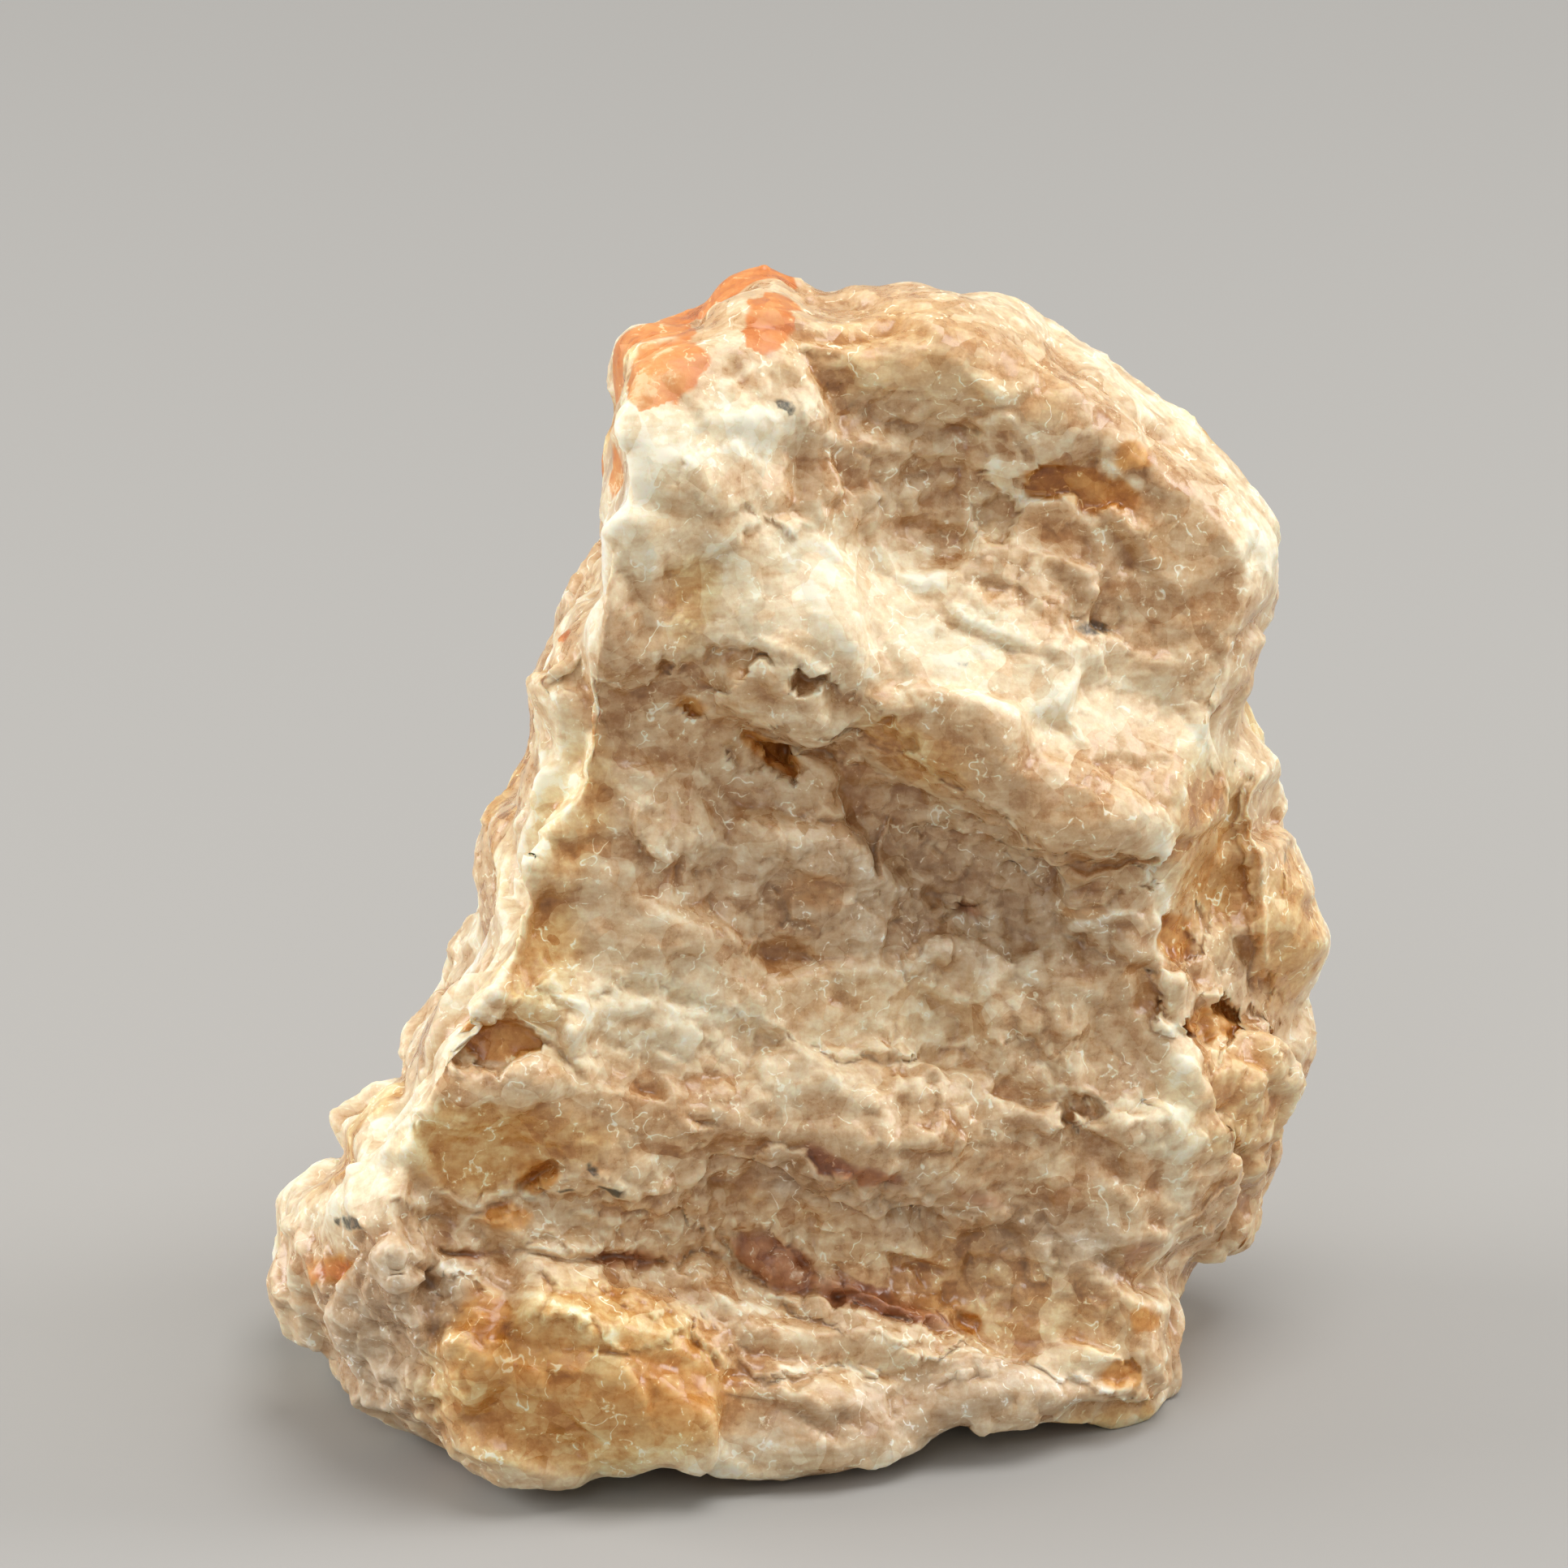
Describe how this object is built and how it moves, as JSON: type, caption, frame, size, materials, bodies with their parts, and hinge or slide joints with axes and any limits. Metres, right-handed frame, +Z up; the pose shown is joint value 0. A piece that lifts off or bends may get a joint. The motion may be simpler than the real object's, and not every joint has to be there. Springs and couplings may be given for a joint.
{
  "type": "rough garnet rock specimen",
  "caption": "Rough, broken piece of tan spessartine garnet rock with orange garnet crystals at its upper left edge and rear, standing on a small flat spot.",
  "frame": {"origin": "middle of the stone's outline seen from above, on the surface that it stands on", "axes": "+Z up, -Y out of the broken front face with the ledges, +X to the right as that face is seen"},
  "size_m": [0.0248, 0.0178, 0.0264],
  "materials": {
    "garnet_rock": "waxy to glassy broken garnet rock, honey tan with cream frosted ridges, amber windows, rust-brown seams and orange garnet crystals"
  },
  "bodies": {
    "root": {"garnet_stone": "garnet_rock"}
  },
  "joints": []
}
